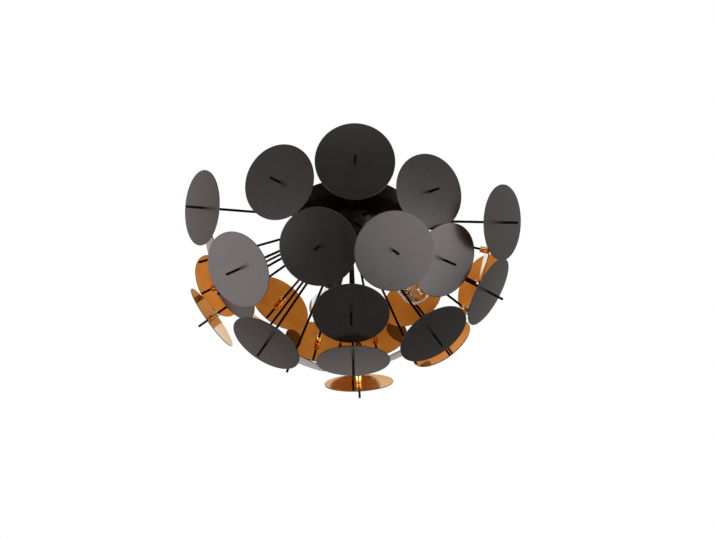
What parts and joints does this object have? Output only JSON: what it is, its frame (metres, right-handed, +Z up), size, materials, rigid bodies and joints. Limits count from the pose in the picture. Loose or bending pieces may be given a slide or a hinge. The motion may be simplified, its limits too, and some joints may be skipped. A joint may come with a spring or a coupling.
{
  "type": "ceiling lamp",
  "caption": "Semi-flush ceiling lamp: a flat cup and hub dome with rods fanning out all round below it, each through the middle of a disc, around small screw-base bulbs.",
  "frame": {"origin": "middle of the bracket's flat face that meets the ceiling, on the lamp's vertical axis", "axes": "+Z up into the ceiling, -Y towards the room side seen in the picture, +X to its right"},
  "size_m": [0.4623, 0.524, 0.2625],
  "materials": {
    "cup_black": "satin black lacquer with a brown cast",
    "dome_black": "gloss black lacquer",
    "disc_black": "satin black outside, mirror gold on the face and sleeve towards the hub",
    "zinc_steel": "zinc plated",
    "white_moulding": "moulded",
    "holder_black": "satin moulded",
    "brass": "bright",
    "nickel": "nickel plated",
    "clear_glass": "clear",
    "stem_glass": "clear, with its filament"
  },
  "bodies": {
    "lamp": {"canopy": "cup_black", "canopy_screw_front": "cup_black", "canopy_screw_back": "cup_black", "hub_dome": "dome_black", "ceiling_bracket": "zinc_steel", "hub_bolt": "zinc_steel", "hub_nut": "zinc_steel", "terminal_block": "white_moulding", "upper_disc_01": "disc_black", "upper_disc_02": "disc_black", "upper_disc_03": "disc_black", "upper_disc_04": "disc_black", "upper_disc_05": "disc_black", "upper_disc_06": "disc_black", "upper_disc_07": "disc_black", "upper_disc_08": "disc_black", "upper_disc_09": "disc_black", "upper_disc_10": "disc_black", "upper_disc_11": "disc_black", "upper_disc_12": "disc_black", "middle_disc_01": "disc_black", "middle_disc_02": "disc_black", "middle_disc_03": "disc_black", "middle_disc_04": "disc_black", "middle_disc_05": "disc_black", "middle_disc_06": "disc_black", "middle_disc_07": "disc_black", "middle_disc_08": "disc_black", "middle_disc_09": "disc_black", "middle_disc_10": "disc_black", "middle_disc_11": "disc_black", "middle_disc_12": "disc_black", "lower_disc_01": "disc_black", "lower_disc_02": "disc_black", "lower_disc_03": "disc_black", "lower_disc_04": "disc_black", "lower_disc_05": "disc_black", "lower_disc_06": "disc_black", "bottom_disc": "disc_black", "holder_arm_1": "zinc_steel", "lamp_holder_1": "holder_black", "holder_shell_1": "brass", "holder_arm_2": "zinc_steel", "lamp_holder_2": "holder_black", "holder_shell_2": "brass", "holder_arm_3": "zinc_steel", "lamp_holder_3": "holder_black", "holder_shell_3": "brass"},
    "bulb_foot_1": {"bulb_contact_1": "brass"},
    "bulb_1": {"bulb_cap_1": "nickel", "bulb_glass_1": "clear_glass", "bulb_stem_1": "stem_glass"},
    "bulb_foot_2": {"bulb_contact_2": "brass"},
    "bulb_2": {"bulb_cap_2": "nickel", "bulb_glass_2": "clear_glass", "bulb_stem_2": "stem_glass"},
    "bulb_foot_3": {"bulb_contact_3": "brass"},
    "bulb_3": {"bulb_cap_3": "nickel", "bulb_glass_3": "clear_glass", "bulb_stem_3": "stem_glass"}
  },
  "joints": [
    {"name": "bulb_1_out", "type": "slide", "parent": "lamp", "child": "bulb_foot_1", "axis": [-0.2936, 0.6296, -0.7193], "range_m": [0, 0.01552]},
    {"name": "bulb_1_turn", "type": "hinge", "parent": "bulb_foot_1", "child": "bulb_1", "pos_m": [0, 0, -0.0221], "axis": [-0.2936, 0.6296, -0.7193], "range_deg": [0, 1980]},
    {"name": "bulb_2_out", "type": "slide", "parent": "lamp", "child": "bulb_foot_2", "axis": [0.6365, 0.0895, -0.766], "range_m": [0, 0.01552]},
    {"name": "bulb_2_turn", "type": "hinge", "parent": "bulb_foot_2", "child": "bulb_2", "pos_m": [0, 0, -0.0221], "axis": [0.6365, 0.0895, -0.766], "range_deg": [0, 1980]},
    {"name": "bulb_3_out", "type": "slide", "parent": "lamp", "child": "bulb_foot_3", "axis": [-0.3147, -0.545, -0.7771], "range_m": [0, 0.01552]},
    {"name": "bulb_3_turn", "type": "hinge", "parent": "bulb_foot_3", "child": "bulb_3", "pos_m": [0, 0, -0.0221], "axis": [-0.3147, -0.545, -0.7771], "range_deg": [0, 1980]}
  ],
  "couplings": [
    {"joint": "bulb_1_out", "follows": "bulb_1_turn", "m_per_rad": 0.00044882},
    {"joint": "bulb_2_out", "follows": "bulb_2_turn", "m_per_rad": 0.00044882},
    {"joint": "bulb_3_out", "follows": "bulb_3_turn", "m_per_rad": 0.00044882}
  ]
}
